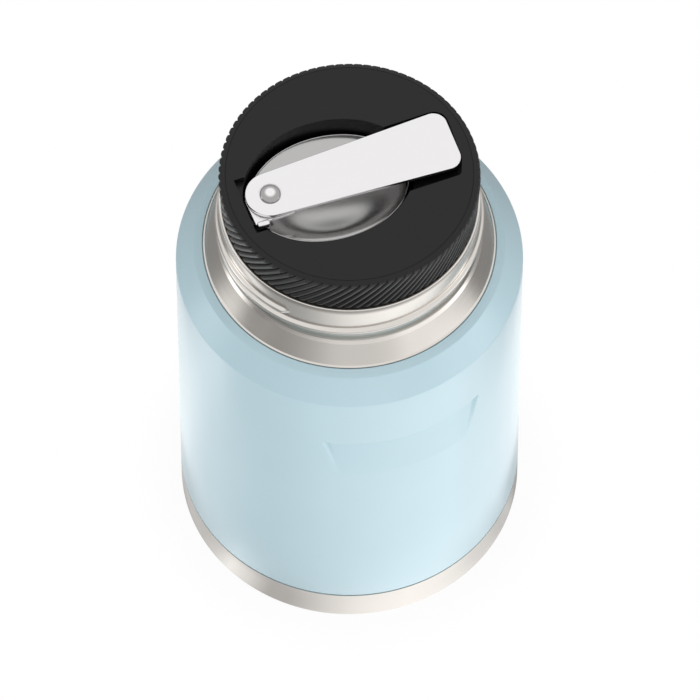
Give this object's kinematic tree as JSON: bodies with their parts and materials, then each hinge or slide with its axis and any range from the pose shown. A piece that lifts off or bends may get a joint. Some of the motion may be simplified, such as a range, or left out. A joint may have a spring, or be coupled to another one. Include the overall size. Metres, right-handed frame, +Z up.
{
  "type": "insulated food jar",
  "caption": "Round vacuum-insulated food jar with a screw-in stopper; a folding spoon lies in a recess in the stopper's top.",
  "frame": {"origin": "the middle of the jar's foot, on the jar's axis, at the level it stands on", "axes": "+Z is up along the jar's axis, out of the mouth. -Y is the front. +X is to the right when the front is faced. The stored spoon lies 20.7 degrees counter-clockwise of +X, seen from above, with its rivet on the -X side."},
  "size_m": [0.104, 0.104, 0.179],
  "materials": {
    "blue_paint": "satin",
    "body_steel": "satin",
    "inner_steel": "satin",
    "spoon_steel": "satin",
    "seal_bead": "matte",
    "getter_metal": "matte",
    "stopper_plastic": "matte",
    "foam": "matte",
    "silicone": "satin"
  },
  "bodies": {
    "jar": {"base_cup": "body_steel", "base_plate": "inner_steel", "vacuum_seal": "seal_bead", "getter": "getter_metal", "outer_shell": "blue_paint", "neck_collar": "body_steel", "inner_liner": "inner_steel"},
    "stopper_ring": {"stopper_gasket": "silicone"},
    "stopper": {"stopper_cap": "stopper_plastic", "stopper_plug": "stopper_plastic", "foam_core": "foam"},
    "spoon": {"spoon_bowl": "spoon_steel", "spoon_washer": "spoon_steel", "spoon_rivet": "spoon_steel"},
    "handle": {"spoon_handle": "spoon_steel"}
  },
  "joints": [
    {"name": "stopper_rise", "type": "slide", "parent": "jar", "child": "stopper_ring", "axis": [0, 0, 1], "range_m": [0, 0.0061]},
    {"name": "stopper_turn", "type": "hinge", "parent": "stopper_ring", "child": "stopper", "pos_m": [0, 0, 0.163], "axis": [0, 0, 1], "range_deg": [0, 270]},
    {"name": "spoon_lift", "type": "slide", "parent": "stopper", "child": "spoon", "axis": [0, 0, 1], "range_m": [0, 0.11]},
    {"name": "handle_swing", "type": "hinge", "parent": "spoon", "child": "handle", "pos_m": [-0.0234, -0.00756, 0.1772], "axis": [0, 0, 1], "range_deg": [-181, 0]}
  ],
  "couplings": [
    {"joint": "stopper_rise", "follows": "stopper_turn", "m_per_rad": 0.0012732},
    {"joint": "handle_swing", "follows": "spoon_lift", "rad_per_m": -28.56}
  ]
}
